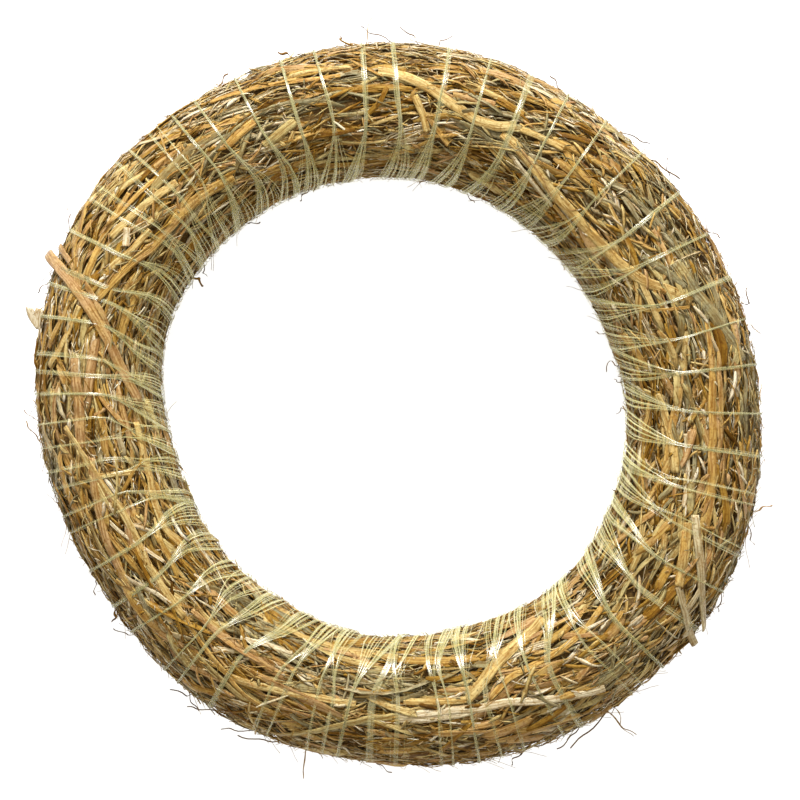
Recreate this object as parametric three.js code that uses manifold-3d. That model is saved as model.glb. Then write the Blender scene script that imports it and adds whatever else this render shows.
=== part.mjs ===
// A straw wreath base: one ring of packed straw, bound all the way round with one flat film twine.
// It lies on its flat back in the plane z = 0, with its axis along +Z. Lengths are in millimetres.
import * as THREE from 'three';
import { ParametricGeometry } from 'three/addons/geometries/ParametricGeometry.js';
import { LoftGeometry } from 'three/addons/geometries/LoftGeometry.js';
import { mergeVertices } from 'three/addons/utils/BufferGeometryUtils.js';
import Module from 'manifold-3d';

// Driving dimensions of the straw ring, averaged along it
const OUTER_DIAMETER = 300;
const BUNDLE_WIDTH = 54.6;
const BUNDLE_HEIGHT = 50;
const BACK_FLAT_WIDTH = 22;

// Driving dimensions of the twine and of its winding
const TWINE_TURNS = 53;
const TWINE_WIDTH = 2.4;
const TWINE_THICKNESS = 0.8;
const TWINE_SUNK_BELOW_CROWNS = 0.5;
const CLEARANCE = 0.3;

// Slow waves of a hand-made ring. Each has its number of lobes, its size in millimetres
// and the angle of its first peak in degrees, anticlockwise from +X.
const CENTRE_LINE_WAVES = [
  { lobes: 2, size: 3.8, peak: 138 },
  { lobes: 4, size: 0.8, peak: 67 },
  { lobes: 5, size: 0.4, peak: 18 },
];
const HALF_WIDTH_WAVES = [
  { lobes: 1, size: 1.05, peak: 21 },
  { lobes: 2, size: 0.4, peak: 122 },
  { lobes: 7, size: 0.45, peak: 33 },
  { lobes: 8, size: 0.35, peak: 14 },
];
const HEIGHT_WAVES = [
  { lobes: 3, size: 0.9, peak: 75 },
  { lobes: 5, size: 0.6, peak: 20 },
];

// Uneven spacing of the turns, as waves of the winding angle in degrees
const WINDING_WAVES = [
  { lobes: 1, size: 5.2, peak: 72 },
  { lobes: 2, size: 2.4, peak: 90 },
  { lobes: 9, size: 0.45, peak: 8 },
  { lobes: 14, size: 0.3, peak: 21 },
];

// Small lumps that the packed stems leave on the bundle, running askew over it
const LUMP_HEIGHT = 0.5;
const LUMPS = [
  { lobes: 17, climb: 2, phase: 0.4 },
  { lobes: 29, climb: -3, phase: 2.1 },
];

// The twine runs straight across the crown and moves on by one turn down the inner wall,
// between these shares of the way across.
const ADVANCE_FROM = 0.52;
const ADVANCE_TO = 0.95;

// Facets: a valley and two crown edges for each turn, and the steps across a section
const ROWS_PER_TURN = 3;
const STEPS_ACROSS = 12;
const STALK_SIDES = 4;
const STALK_STEPS = 6;

// Stout stems that stand out on the bundle. Each path point is an angle round the ring in degrees
// and a share of the way across, from 0 at the outer back corner over the crown at 0.5 to 1 at the
// inner back corner. Rise is how far the stem's middle stands off the crowns at its two ends: a loose
// end stands off, and a held one dives into the bundle.
const STALK_THICKNESS = 3;
const HELD_END = -2.5;
const STALKS = [
  { width: 6, rise: [4.5, HELD_END], path: [[156.3, 0.2], [161, 0.36], [167, 0.49], [173.5, 0.57], [181, 0.66]] },
  { width: 4.6, rise: [HELD_END, HELD_END], path: [[95, 0.37], [85, 0.42], [75, 0.46], [64, 0.51]] },
  { width: 4.6, rise: [HELD_END, HELD_END], path: [[71, 0.52], [58, 0.58], [46, 0.62], [35, 0.6], [24, 0.53]] },
  { width: 4.2, rise: [2, HELD_END], path: [[324, 0.25], [329, 0.34], [334, 0.4], [342, 0.46]] },
  { width: 5, rise: [HELD_END, HELD_END], path: [[270, 0.46], [281, 0.45], [290, 0.41], [299, 0.37], [308, 0.3]] },
];

const FULL_TURN = 2 * Math.PI;
const VALLEY_DEPTH = TWINE_SUNK_BELOW_CROWNS + TWINE_THICKNESS + CLEARANCE;

function radians(degrees) {
  return THREE.MathUtils.degToRad(degrees);
}

function waveSum(waves, angle) {
  return waves.reduce((sum, wave) => sum + wave.size * Math.cos(wave.lobes * (angle - radians(wave.peak))), 0);
}

// The angle round the ring at which a turn of the twine crosses the crown
function windingAngle(turn) {
  const even = (FULL_TURN * turn) / TWINE_TURNS;
  return even + radians(waveSum(WINDING_WAVES, even));
}

function advance(share) {
  return THREE.MathUtils.smoothstep(share, ADVANCE_FROM, ADVANCE_TO);
}

// A section is an ellipse cut off flat at the back. Its angle is 0 at the outer wall and 90 degrees at the crown.
function sectionAt(ringAngle) {
  const centreRadius = (OUTER_DIAMETER - BUNDLE_WIDTH) / 2 + waveSum(CENTRE_LINE_WAVES, ringAngle);
  const halfWidth = BUNDLE_WIDTH / 2 + waveSum(HALF_WIDTH_WAVES, ringAngle);
  const height = BUNDLE_HEIGHT + waveSum(HEIGHT_WAVES, ringAngle);
  const cornerAngle = Math.acos(BACK_FLAT_WIDTH / 2 / halfWidth);
  const halfHeight = height / (1 + Math.sin(cornerAngle));
  return { centreRadius, halfWidth, halfHeight, cornerAngle };
}

// Lumps fade out towards the flat back, which stays flat.
function lumpAt(ringAngle, share) {
  const bumps = LUMPS.map((lump) => Math.cos(lump.lobes * ringAngle + FULL_TURN * lump.climb * share + lump.phase));
  const total = bumps.reduce((sum, bump) => sum + bump, 0);
  return LUMP_HEIGHT * total * Math.sin(Math.PI * share) ** 2;
}

// A point below the bundle's crowns by depth, or above them where depth is negative
function bundlePoint(ringAngle, share, depth) {
  const { centreRadius, halfWidth, halfHeight, cornerAngle } = sectionAt(ringAngle);
  const sectionAngle = share * (Math.PI + 2 * cornerAngle) - cornerAngle;
  const inset = lumpAt(ringAngle, share) - depth;
  const radius = centreRadius + (halfWidth + inset) * Math.cos(sectionAngle);
  const z = halfHeight * Math.sin(cornerAngle) + (halfHeight + inset) * Math.sin(sectionAngle);
  return new THREE.Vector3(radius * Math.cos(ringAngle), radius * Math.sin(ringAngle), z);
}

// The grid follows the winding. After its last step across, row by row, it goes on in the next turn.
function gridPlace(row, step) {
  const closes = step > STEPS_ACROSS;
  const ownRow = (closes ? row + ROWS_PER_TURN : row) % (ROWS_PER_TURN * TWINE_TURNS);
  const share = closes ? 0 : step / STEPS_ACROSS;
  return { ringAngle: windingAngle(ownRow / ROWS_PER_TURN + advance(share)), share, ownRow };
}

function closedGeometry(source) {
  const geometry = new THREE.BufferGeometry().copy(source);
  return mergeVertices(geometry.deleteAttribute('normal').deleteAttribute('uv'));
}

function packedBundle() {
  const rows = ROWS_PER_TURN * TWINE_TURNS;
  const steps = STEPS_ACROSS + 1;
  const pointAt = (u, v, target) => {
    const { ringAngle, share, ownRow } = gridPlace(Math.round(u * rows), Math.round(v * steps));
    const depth = ownRow % ROWS_PER_TURN === 0 ? VALLEY_DEPTH : 0;
    target.copy(bundlePoint(ringAngle, share, depth));
  };
  return closedGeometry(new ParametricGeometry(pointAt, rows, steps));
}

// The twine is one closed winding with a three-sided section: a flat outer face over an edge in the valley.
// Grown is how far each of its faces stands out, for the room that other pieces leave around it.
function twineWinding(grown) {
  const steps = STEPS_ACROSS + 1;
  const length = TWINE_TURNS * steps;
  const edgeAngle = Math.atan2(TWINE_THICKNESS, TWINE_WIDTH / 2);
  const halfWidth = TWINE_WIDTH / 2 + grown / Math.tan(edgeAngle / 2);
  const outerDepth = TWINE_SUNK_BELOW_CROWNS - grown;
  const innerDepth = TWINE_SUNK_BELOW_CROWNS + TWINE_THICKNESS + grown / Math.cos(edgeAngle);
  const corners = [
    { aside: halfWidth, depth: outerDepth },
    { aside: -halfWidth, depth: outerDepth },
    { aside: 0, depth: innerDepth },
  ];
  const pointAt = (u, v, target) => {
    const place = Math.round(u * length) % length;
    const corner = corners[Math.round(v * corners.length) % corners.length];
    const { ringAngle, share } = gridPlace(Math.floor(place / steps) * ROWS_PER_TURN, place % steps);
    const alongRing = new THREE.Vector3(-Math.sin(ringAngle), Math.cos(ringAngle), 0);
    target.copy(bundlePoint(ringAngle, share, corner.depth)).addScaledVector(alongRing, corner.aside);
  };
  return closedGeometry(new ParametricGeometry(pointAt, length, corners.length));
}

// A stem is a flattened four-sided bar with a ridge. It lies along the bundle's surface, half sunk in it,
// and thins at its ends.
function stalk({ width, rise, path }) {
  const corners = path.map(([degrees, share]) => new THREE.Vector3(degrees, share, 0));
  const route = new THREE.CatmullRomCurve3(corners);
  const sections = [];
  for (let step = 0; step <= STALK_STEPS; step += 1) {
    const along = step / STALK_STEPS;
    const here = route.getPoint(along);
    const [startRise, endRise] = rise;
    const lift = startRise * (1 - along) ** 3 + endRise * along ** 3;
    const centre = bundlePoint(radians(here.x), here.y, -lift);
    const above = bundlePoint(radians(here.x), here.y, -lift - 1);
    const ahead = route.getPoint(Math.min(along + 0.01, 1));
    const behind = route.getPoint(Math.max(along - 0.01, 0));
    const outward = above.sub(centre).normalize();
    const forward = bundlePoint(radians(ahead.x), ahead.y, -lift).sub(bundlePoint(radians(behind.x), behind.y, -lift));
    const sideways = new THREE.Vector3().crossVectors(outward, forward).normalize();
    const taper = 0.75 + 0.25 * Math.sin(Math.PI * along);
    const section = [];
    for (let side = 0; side < STALK_SIDES; side += 1) {
      const angle = (FULL_TURN * side) / STALK_SIDES;
      const point = centre.clone();
      point.addScaledVector(sideways, (width / 2) * taper * Math.cos(angle));
      point.addScaledVector(outward, (STALK_THICKNESS / 2) * taper * Math.sin(angle));
      section.push(point);
    }
    sections.push(section);
  }
  return closedGeometry(new LoftGeometry(sections, { capStart: true, capEnd: true }));
}

const wasm = await Module();
wasm.setup();

function solidOf(geometry) {
  const vertProperties = new Float32Array(geometry.attributes.position.array);
  const triVerts = new Uint32Array(geometry.index.array);
  const solid = new wasm.Manifold(new wasm.Mesh({ numProp: 3, vertProperties, triVerts }));
  return solid;
}

function geometryOf(solid) {
  const { vertProperties, triVerts } = solid.getMesh();
  const geometry = new THREE.BufferGeometry();
  geometry.setAttribute('position', new THREE.BufferAttribute(vertProperties, 3));
  geometry.setIndex(new THREE.BufferAttribute(triVerts, 1));
  return geometry;
}

// The stout stems grow out of the bundle and arch over the twine where it passes under them.
function strawRing() {
  const roomForTwine = solidOf(twineWinding(CLEARANCE));
  const bundle = STALKS.reduce(
    (solid, shape) => solid.add(solidOf(stalk(shape)).subtract(roomForTwine)),
    solidOf(packedBundle()),
  );
  const straw = new THREE.MeshStandardMaterial({ color: 0xb9955a, roughness: 0.8, metalness: 0 });
  return namedMesh('straw_ring', geometryOf(bundle), straw);
}

function bindingTwine() {
  const film = new THREE.MeshStandardMaterial({ color: 0xc9c98a, roughness: 0.3, metalness: 0 });
  return namedMesh('binding_twine', twineWinding(0), film);
}

function namedMesh(name, geometry, material) {
  const mesh = new THREE.Mesh(geometry, material);
  mesh.name = name;
  return mesh;
}

const wreath = new THREE.Group();
wreath.add(strawRing(), bindingTwine());

// The origin is at the middle of the back, below the centre of the outline.
const outline = new THREE.Box3().setFromObject(wreath, true);
const middle = outline.getCenter(new THREE.Vector3());
wreath.position.set(-middle.x, -middle.y, -outline.min.z);

export default wreath;
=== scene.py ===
# %% [markdown]
# A straw wreath base is what a florist starts from: dry wheat straw packed into a ring and bound all
# the way round with one flat film twine. This notebook dresses the measured model of such a ring.
# The model gives the sizes, and every stem, shred and turn of film here is laid on its surface.

import bmesh
import bpy
import numpy as np
from mathutils import Matrix, Vector


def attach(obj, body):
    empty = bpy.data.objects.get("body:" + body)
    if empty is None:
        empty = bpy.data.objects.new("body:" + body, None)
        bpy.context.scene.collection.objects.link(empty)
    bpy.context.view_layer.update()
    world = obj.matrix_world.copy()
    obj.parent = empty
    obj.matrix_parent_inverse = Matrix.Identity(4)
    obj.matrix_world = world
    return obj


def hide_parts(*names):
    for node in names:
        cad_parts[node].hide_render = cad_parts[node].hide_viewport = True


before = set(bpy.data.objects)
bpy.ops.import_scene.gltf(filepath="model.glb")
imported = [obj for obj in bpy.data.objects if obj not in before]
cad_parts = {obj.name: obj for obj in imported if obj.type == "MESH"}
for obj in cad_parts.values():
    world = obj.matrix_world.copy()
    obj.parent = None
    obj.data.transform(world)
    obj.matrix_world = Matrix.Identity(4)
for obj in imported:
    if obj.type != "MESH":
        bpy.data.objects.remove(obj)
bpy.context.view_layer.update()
BODY = "root"
MM = 0.001

# %% [markdown]
# On the real ring nothing is placed in straight lines: a stem lies on the bundle at some angle round
# the ring and some way across it. So the first tool is a map of the bundle. The angle is in degrees,
# anticlockwise from +X. The share runs across a section, from 0 at the outer back corner over the
# crown at 0.5 to 1 at the inner back corner, and then on over the flat back. The lift is the height
# above the straw's crowns in millimetres. The map's radii are measured on the model, so a ring of
# another size would be dressed just as well. The median of a few neighbours leaves out a loose stem
# that stands off the ring, and the first few waves of a Fourier series make the measure smooth.

# %% Measure the bundle
ring_points = np.array([vertex.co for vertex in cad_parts["straw_ring"].data.vertices]) / MM
ring_angles = np.degrees(np.arctan2(ring_points[:, 1], ring_points[:, 0])) % 360
ring_radii = np.hypot(ring_points[:, 0], ring_points[:, 1])

PROFILE_STEP = 4.0
KEPT_WAVES = 9
NEIGHBOURS = 2
ON_BACK_UNDER = 0.05
profile_angles = np.arange(0, 360, PROFILE_STEP)


def round_the_ring(measure):
    """One measure at each step round the ring, without the one loose end, as a smooth closed wave."""
    values = []
    for angle in profile_angles:
        near = np.abs((ring_angles - angle + 180) % 360 - 180) < PROFILE_STEP
        values.append(measure(near))
    steps = np.arange(-NEIGHBOURS, NEIGHBOURS + 1)
    middle = [np.median(np.take(values, steps + i, mode="wrap")) for i in range(len(values))]
    waves = np.fft.rfft(middle)
    waves[KEPT_WAVES:] = 0
    return np.fft.irfft(waves, len(values))


outer_profile = round_the_ring(lambda near: ring_radii[near].max())
inner_profile = round_the_ring(lambda near: ring_radii[near].min())
top_profile = round_the_ring(lambda near: ring_points[near, 2].max())
on_back = ring_points[:, 2] < ON_BACK_UNDER
back_outer = round_the_ring(lambda near: ring_radii[near & on_back].max())
back_inner = round_the_ring(lambda near: ring_radii[near & on_back].min())
BACK_FLAT = float(np.mean(back_outer - back_inner))
print("bundle", round(float(np.mean(outer_profile - inner_profile)), 1), "mm wide,",
      round(float(top_profile.mean()), 1), "mm high, flat back", round(BACK_FLAT, 1), "mm")


def at_angle(profile, angle):
    return np.interp(np.asarray(angle) % 360, profile_angles, profile, period=360)


HALF_WIDTH = float(np.mean(outer_profile - inner_profile)) / 2
CORNER = float(np.arccos(BACK_FLAT / 2 / HALF_WIDTH))
HALF_HEIGHT = float(top_profile.mean()) / (1 + np.sin(CORNER))
ARC = (HALF_WIDTH + HALF_HEIGHT) / 2 * (np.pi + 2 * CORNER)
BACK_SHARE = BACK_FLAT / ARC
LOWEST = 0.15


def radius_at(angle, share):
    """The distance from the ring's axis, which tells how many millimetres a degree is there."""
    middle = (at_angle(outer_profile, angle) + at_angle(inner_profile, angle)) / 2
    section = np.clip(share, 0, 1) * (np.pi + 2 * CORNER) - CORNER
    return middle + HALF_WIDTH * np.cos(section)


def place(angle, share, lift):
    """Points on the bundle in millimetres, from angle, share and lift, and none below the table."""
    angle, share, lift = np.broadcast_arrays(angle, share, lift)
    outer = at_angle(outer_profile, angle)
    inner = at_angle(inner_profile, angle)
    middle = (outer + inner) / 2
    half_width = (outer - inner) / 2
    corner = np.arccos(BACK_FLAT / 2 / half_width)
    half_height = at_angle(top_profile, angle) / (1 + np.sin(corner))
    wrapped = share % (1 + BACK_SHARE)
    section = np.minimum(wrapped, 1) * (np.pi + 2 * corner) - corner
    back = np.clip((wrapped - 1) / BACK_SHARE, 0, 1)
    radius = middle + (half_width + lift) * np.cos(section)
    height = half_height * np.sin(corner) + (half_height + lift) * np.sin(section)
    radius = np.where(wrapped > 1, middle - BACK_FLAT / 2 + back * BACK_FLAT, radius)
    height = np.where(wrapped > 1, -lift, height)
    turn = np.radians(angle)
    height = np.maximum(height, LOWEST)
    return np.stack([radius * np.cos(turn), radius * np.sin(turn), height], axis=-1)


# %% [markdown]
# The twine rules everything else: where it crosses, it squeezes the straw into a shallow waist, and
# between two turns the straw swells. Its turns are read off the model's twine at the crown. From
# there the twine runs straight over the outer wall, and moves on by one turn down the inner wall.
# On the real ring a turn often splits into two bands at the crown, or sits a little off its place,
# so the angles at which bands cross the crown are listed too, as they were read off the photograph.
# Each band belongs to the turn that is nearest to it.

# %% Find the turns of the twine
twine_points = np.array([vertex.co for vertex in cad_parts["binding_twine"].data.vertices]) / MM
twine_angles = np.degrees(np.arctan2(twine_points[:, 1], twine_points[:, 0])) % 360
AT_CROWN = 0.93
TURN_GAP = 1.6
crown_angles = np.sort(twine_angles[twine_points[:, 2] > AT_CROWN * at_angle(top_profile, twine_angles)])
breaks = np.flatnonzero(np.diff(crown_angles) > TURN_GAP) + 1
groups = np.split(crown_angles, breaks)
if crown_angles[0] + 360 - crown_angles[-1] < TURN_GAP:
    groups[0] = np.concatenate([groups.pop() - 360, groups[0]])
turn_angles = np.sort([group.mean() for group in groups])
TURNS = len(turn_angles)
print("turns of twine", TURNS)

ADVANCE_FROM = 0.52
ADVANCE_TO = 0.95
SQUEEZE_REACH = 2.4
SQUEEZED_LIFT = -0.45
BANDS = np.array([
    6, 13, 20.5, 29.5, 36.5, 46, 53.3, 60.7, 67.7, 75, 82, 90, 96, 103, 109.5, 116.5, 123.6, 131,
    133, 136.7, 140, 143.7, 146.2, 152, 158.3, 160.8, 165, 171.3, 175, 178.3, 182.5, 187, 190.7,
    194, 198, 201, 208, 215.6, 222, 229, 231.5, 238, 246, 248.5, 254.5, 257.5, 260.7, 265.5, 269.5,
    271.5, 277.5, 279.5, 283.5, 286.5, 290.8, 299.5, 307.8, 310.5, 314.8, 322.5, 329.3, 336.3, 338,
    343.7, 345.5, 351.7, 358.3,
])
print("bands on the crown", len(BANDS))


def smooth_step(value, start, end):
    step = np.clip((value - start) / (end - start), 0, 1)
    return step * step * (3 - 2 * step)


def winding_angle(turn):
    """The angle at which a turn crosses the crown. Turns go on past the last one, round and round."""
    whole = np.arange(-TURNS, 3 * TURNS)
    angles = turn_angles[whole % TURNS] + 360 * (whole // TURNS)
    return np.interp(turn, whole, angles)


def bands_of_turn(turn):
    """How far the bands of one turn cross the crown from the turn's own place, in degrees."""
    away = (BANDS[:, None] - turn_angles[None, :] + 180) % 360 - 180
    mine = np.abs(away).argmin(axis=1) == turn
    return away[mine, turn] if mine.any() else np.zeros(1)


def squeeze(angle, share):
    """1 under a band of the twine, fading to 0 a few millimetres beside it."""
    wrapped = share % (1 + BACK_SHARE)
    at_crown = (angle - smooth_step(wrapped, ADVANCE_FROM, ADVANCE_TO) * 360 / TURNS) % 360
    lines = np.concatenate([BANDS - 360, BANDS, BANDS + 360])
    after = np.searchsorted(lines, at_crown)
    gap = np.minimum(at_crown - lines[after - 1], lines[after] - at_crown)
    distance = np.radians(gap) * radius_at(angle, wrapped)
    return np.exp(-(distance / SQUEEZE_REACH) ** 2)


# %% [markdown]
# A stem, a shred and a strip of film are all long thin things. Each starts as a blank: a short cone
# with as many sides as its section needs, cut into steps along its length. A dry stem is crushed
# nearly flat with ribs along it, and film is flat on top. An Array modifier copies the blank, and
# numpy then lays every copy along its own route over the bundle. Copying one small blank keeps each
# stem to a few dozen faces, and there are thousands of stems.

# %% Blanks and copies
HALF_UNIT = 0.5
RIB_DEPTH = 0.3
CRUSHED_POWER = 4
CAP_NORMAL = 0.5
LEVEL = 1e-6


def climb(edge):
    """How far an edge runs along the blank."""
    return abs(edge.verts[0].co.z - edge.verts[1].co.z)


def blank(sides, steps, flat_top=False, ribbed=False):
    """A closed prism one unit across, thick and long. X is across, Y is outwards and Z is along."""
    shape = bmesh.new()
    bmesh.ops.create_cone(shape, cap_ends=True, segments=sides, radius1=HALF_UNIT, radius2=HALF_UNIT,
                          depth=1)
    if ribbed:
        for vertex in shape.verts:
            spoke = round(np.arctan2(vertex.co.y, vertex.co.x) / (2 * np.pi / sides))
            crushed = HALF_UNIT * np.sqrt(max(0, 1 - abs(vertex.co.x / HALF_UNIT) ** CRUSHED_POWER))
            vertex.co.y = np.sign(vertex.co.y) * crushed * (1 - RIB_DEPTH * (spoke % 2))
    if flat_top:
        half_side = np.pi / sides
        bmesh.ops.rotate(shape, verts=shape.verts, matrix=Matrix.Rotation(half_side, 3, "Z"))
        bmesh.ops.scale(shape, verts=shape.verts, vec=(1 / np.cos(half_side),) * 2 + (1,))
    long_edges = [edge for edge in shape.edges if climb(edge) > LEVEL]
    bmesh.ops.subdivide_edges(shape, edges=long_edges, cuts=steps - 1, use_grid_fill=False)
    for face in shape.faces:
        face.smooth = abs(face.normal.z) < CAP_NORMAL
    for edge in shape.edges:
        edge.smooth = not (flat_top and climb(edge) > LEVEL)
    mesh = bpy.data.meshes.new("blank")
    shape.to_mesh(mesh)
    shape.free()
    return mesh


def copies(mesh, count, name):
    """A new object that holds count copies of the mesh, one on top of the other."""
    source = bpy.data.objects.new(name, mesh)
    bpy.context.scene.collection.objects.link(source)
    array = source.modifiers.new("copies", "ARRAY")
    array.count = count
    array.use_relative_offset = False
    array.use_constant_offset = True
    array.constant_offset_displace = (0, 0, 0)
    graph = bpy.context.evaluated_depsgraph_get()
    copied = bpy.data.meshes.new_from_object(source.evaluated_get(graph))
    source.modifiers.clear()
    source.data = copied
    copied.name = name
    return source


def read_points(mesh):
    flat = np.empty(len(mesh.vertices) * 3, np.float32)
    mesh.vertices.foreach_get("co", flat)
    return flat.reshape(-1, 3).astype(float)


def write_points(mesh, points):
    mesh.vertices.foreach_set("co", (points.reshape(-1) * MM).astype(np.float32))
    mesh.update()


def write_numbers(mesh, name, values):
    layer = mesh.attributes.new(name, "FLOAT", "POINT")
    layer.data.foreach_set("value", values.reshape(-1).astype(np.float32))


def write_vectors(mesh, name, values):
    layer = mesh.attributes.new(name, "FLOAT_VECTOR", "POINT")
    layer.data.foreach_set("vector", values.reshape(-1).astype(np.float32))


def finish_piece(piece, node, material):
    piece.data.materials.clear()
    piece.data.materials.append(material)
    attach(piece, BODY)
    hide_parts(node)
    triangles = sum(len(polygon.vertices) - 2 for polygon in piece.data.polygons)
    print(piece.name, triangles, "triangles")
    return piece


# %% [markdown]
# Laying is the heart of the lesson. A route gives the angle and share at each point along a stem.
# The stem's width goes to the side of the route, its thickness goes outwards, and the twine's squeeze
# pulls it down wherever it passes under a turn. Three numbers are kept on every point for the
# materials: the stem's own tone, the painted shade of its depth, and where the point is in the stem's
# grain.

# %% Lay copies along routes
ROUTE_NUDGE = 0.01
DEEP = -4.0
SHADE_MOST = 1.2


def lay(name, shape, count, route, form, ceiling=None):
    """Lays count copies of a blank. The route turns a share of length into angle and share."""
    piece = copies(shape, count, name)
    local = read_points(piece.data).reshape(count, -1, 3)
    along = local[..., 2] + HALF_UNIT
    angle, share = route(along)
    angle_before, share_before = route(along - ROUTE_NUDGE)
    angle_after, share_after = route(along + ROUTE_NUDGE)
    radius = radius_at(angle, share % (1 + BACK_SHARE))
    run = np.radians(angle_after - angle_before) * radius
    rise = (share_after - share_before) * ARC
    heading = np.arctan2(rise, run)
    width = form["width"] * form.get("taper", lambda step: 1.0)(along)
    roll = form.get("roll", 0) + form.get("twist", 0) * (along - HALF_UNIT)
    side = local[..., 0] * width * np.cos(roll) - local[..., 1] * form["thick"] * np.sin(roll)
    out = local[..., 0] * width * np.sin(roll) + local[..., 1] * form["thick"] * np.cos(roll)
    lift = form["lift"] + form["bend"](along)
    pressed = squeeze(angle, share) * form.get("held", 1.0)
    if ceiling is not None:
        roof = ceiling(share % (1 + BACK_SHARE))
        lift = np.where(lift > roof, roof + (lift - roof) * (1 - form.get("held", 1.0)), lift)
    lift = lift - pressed * np.maximum(lift - SQUEEZED_LIFT, 0)
    angle = angle - np.degrees(side * np.sin(heading) / radius)
    share = share + side * np.cos(heading) / ARC
    write_points(piece.data, place(angle, share, lift + out))
    tone = form["tone"](along) if callable(form["tone"]) else form["tone"]
    tone = np.broadcast_to(tone, along.shape)
    # Painted shade: the deeper a point lies in the bundle, the darker the straw material draws it.
    shade = np.clip(1 - lift / DEEP, 0, SHADE_MOST)
    seed = np.broadcast_to(form["seed"], along.shape)
    length = np.broadcast_to(form["length"], along.shape)
    grain = np.stack([along * length, local[..., 0] * width, seed], axis=-1)
    write_numbers(piece.data, "tone", tone)
    write_numbers(piece.data, "shade", shade)
    write_vectors(piece.data, "grain", grain)
    return piece


def column(values):
    """One number for each copy, ready to be combined with all of its points."""
    return np.asarray(values, float).reshape(-1, 1)


# %% [markdown]
# Straw is the stalk of wheat, cut green-gold and dried. Its skin is a thin waxy tube that splits into
# flat strips, so one stem is golden, the next tan, pinkish, grey-green or nearly cream, each with fine
# lines along it. One material covers them all, and its nodes need three small helpers: one for
# colours, one that adds a node with its settings and links, and one for a ramp's stops.

# %% Colours and node helper
NEW_STOP = 0.5


def linear(code):
    """A colour as Blender wants it, from a hex code, by the curve of the sRGB standard."""
    parts = [int(code[i:i + 2], 16) / 255 for i in (1, 3, 5)]
    return [part / 12.92 if part <= 0.04045 else ((part + 0.055) / 1.055) ** 2.4 for part in parts] + [1]


def add_node(tree, kind, settings=None, inputs=None, links=None):
    """Adds one node. Settings are its properties, inputs its own values, links what feeds it."""
    node = tree.nodes.new(kind)
    for key, value in (settings or {}).items():
        setattr(node, key, value)
    for key, value in (inputs or {}).items():
        node.inputs[key].default_value = value
    for key, source in (links or {}).items():
        tree.links.new(source, node.inputs[key])
    return node


def new_material(name):
    material = bpy.data.materials.new(name)
    material.use_nodes = True
    material.node_tree.nodes.clear()
    return material, material.node_tree


def set_ramp(node, stops):
    ramp = node.color_ramp
    while len(ramp.elements) < len(stops):
        ramp.elements.new(NEW_STOP)
    for element, (position, code) in zip(ramp.elements, stops):
        element.position = position
        element.color = linear(code)


def span(low, high, start, end):
    """The inputs of a Map Range node that turns the numbers from low to high into start to end."""
    return {1: low, 2: high, 3: start, 4: end}


# %% [markdown]
# A colour ramp turns a stem's tone into its colour, from dark brown over gold, tan and grey-green to
# cream. Noise that is stretched along the grain draws the lines. Real ones are 0.1 to 0.3 mm apart, at
# the limit of what the picture shows, so they are drawn 0.8 mm apart. Blotches of 6 mm drift the tone
# within a stem, and spots of 1 mm are its mildew and scuffs. A stem that lies deep in the bundle is
# darkened too, and that is painted shade. Straw lets light through, so lines, spots and painted shade
# all turn a warm brown, never grey: the tint keeps some red and hardly any blue. The wax gives a soft,
# slightly golden shine.

# %% Dry wheat straw
STRAW_TONES = [
    (0.00, "#5c400d"), (0.08, "#805d1c"), (0.18, "#9a7830"), (0.28, "#ae9050"), (0.38, "#b29369"),
    (0.48, "#bc9a54"), (0.58, "#c5b27b"), (0.68, "#b9a870"), (0.78, "#7f7a5d"), (0.88, "#cabd98"),
    (1.00, "#dcd5be"),
]
# The dark tint of the lines and spots, and of the painted shade of depth.
MARK_AND_SHADE_TINT = (0.35, 0.185, 0.015)
LINE_LENGTH = 11.1
LINE_SPACING = 0.8
LINE_HEIGHT = 0.6
BLOTCH_SIZE = 6.25
SPOT_SIZE = 1.0
TONE_DRIFT = 0.22
LINE_SHADE = span(0.41, 0.58, 0.3, 1.0)
SPOT_SHADE = span(0.34, 0.46, 0.45, 1.0)
# Painted shade by depth: stems deep in the bundle go up to a quarter of the way to the dark tint.
DEPTH_SHADE = span(0.1, 0.85, 0.75, 1.0)


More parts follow.
